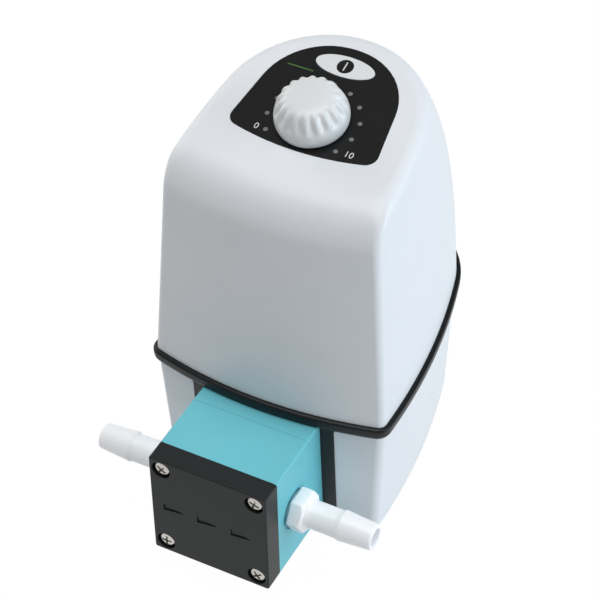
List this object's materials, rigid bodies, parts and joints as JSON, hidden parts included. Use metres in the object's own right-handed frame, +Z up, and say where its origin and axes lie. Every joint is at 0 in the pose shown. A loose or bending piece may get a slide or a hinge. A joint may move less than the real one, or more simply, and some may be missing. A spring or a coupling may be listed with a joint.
{
  "type": "diaphragm liquid pump",
  "caption": "Bench diaphragm pump for liquids with a square pump head, side hose nipples, a speed knob and a power button on its sloping top.",
  "frame": {"origin": "centre of the bounding box's bottom face, on the surface that the rubber feet stand on", "axes": "+X to the outlet nipple on the right seen from the front, -Y to the front with the pump head, +Z up"},
  "size_m": [0.1438, 0.2013, 0.2187],
  "materials": {
    "white_shell": "satin",
    "black_gasket": "satin",
    "black_rubber": "matte",
    "fitting_seal_rubber": "matte",
    "black_cover": "fine moulded grain",
    "black_moulding": "satin",
    "teal_block": "satin",
    "valve_plate_plastic": "satin",
    "natural_polymer": "translucent white",
    "panel_black": "printed satin film",
    "indicator_grey": "translucent",
    "knob_white": "satin",
    "button_white": "satin, printed mark",
    "screw_steel": "bright",
    "dark_steel": "blackened",
    "bearing_steel": "ground",
    "plated_steel": "zinc plated",
    "cast_alloy": "as cast",
    "machined_steel": "turned",
    "ferrite": "sintered",
    "core_steel": "stacked sheet",
    "contact_metal": "turned",
    "carbon": "sintered",
    "board_green": "varnished",
    "part_plastic": "moulded",
    "pot_shaft": "moulded"
  },
  "bodies": {
    "pump_base": {"lower_housing": "white_shell", "upper_housing": "white_shell", "seal_band": "black_gasket", "rubber_feet": "black_rubber", "plate_seal": "black_rubber", "diaphragm": "black_rubber", "fitting_seals": "fitting_seal_rubber", "head_cover": "black_cover", "mains_inlet": "black_moulding", "motor_end_cap": "black_moulding", "key_switch": "black_moulding", "pump_head": "teal_block", "pump_casing": "teal_block", "valve_plate": "valve_plate_plastic", "inlet_fitting": "natural_polymer", "outlet_fitting": "natural_polymer", "control_panel": "panel_black", "indicator_lenses": "indicator_grey", "cover_screws": "screw_steel", "housing_screws": "screw_steel", "motor_screws": "screw_steel", "bracket_screws": "screw_steel", "board_screws": "screw_steel", "motor_bearings": "bearing_steel", "motor_bracket": "plated_steel", "motor_can": "plated_steel", "field_magnets": "ferrite", "inlet_pins": "contact_metal", "brushes": "carbon", "control_board": "board_green", "supply_board": "board_green", "potentiometer": "part_plastic", "supply_parts": "part_plastic"},
    "rotor": {"motor_shaft": "bearing_steel", "rotor_core": "core_steel", "commutator": "contact_metal", "eccentric": "machined_steel", "set_screw": "dark_steel", "bearing_clip": "dark_steel"},
    "rod": {"connecting_rod": "cast_alloy", "rod_bearing": "bearing_steel", "diaphragm_stud": "screw_steel"},
    "knob": {"speed_knob": "knob_white", "potentiometer_shaft": "pot_shaft"},
    "button": {"power_button": "button_white", "switch_plunger": "black_moulding"},
    "inlet_flap": {"inlet_valve": "black_rubber"},
    "outlet_flap": {"outlet_valve": "black_rubber"}
  },
  "joints": [
    {"name": "shaft_spin", "type": "hinge", "parent": "pump_base", "child": "rotor", "pos_m": [0, -0.0082, 0.06], "axis": [0, 0, 1], "continuous": true},
    {"name": "rod_orbit", "type": "hinge", "parent": "rotor", "child": "rod", "pos_m": [0, -0.006, 0.041], "axis": [0, 0, 1], "continuous": true, "deforming": ["diaphragm"]},
    {"name": "knob_turn", "type": "hinge", "parent": "pump_base", "child": "knob", "pos_m": [0, 0.0074, 0.2001], "axis": [0, 0.2312, -0.9729], "range_deg": [0, 250.8]},
    {"name": "button_press", "type": "slide", "parent": "pump_base", "child": "button", "axis": [0, 0.2312, -0.9729], "range_m": [0, 0.0008], "stiffness_N_per_m": 1500, "springref_m": -0.0004},
    {"name": "inlet_valve_lift", "type": "slide", "parent": "pump_base", "child": "inlet_flap", "axis": [0, 1, 0], "range_m": [0, 0.0008]},
    {"name": "outlet_valve_lift", "type": "slide", "parent": "pump_base", "child": "outlet_flap", "axis": [0, -1, 0], "range_m": [0, 0.0008]}
  ],
  "couplings": [
    {"joint": "rod_orbit", "follows": "shaft_spin", "ratio": -1}
  ]
}
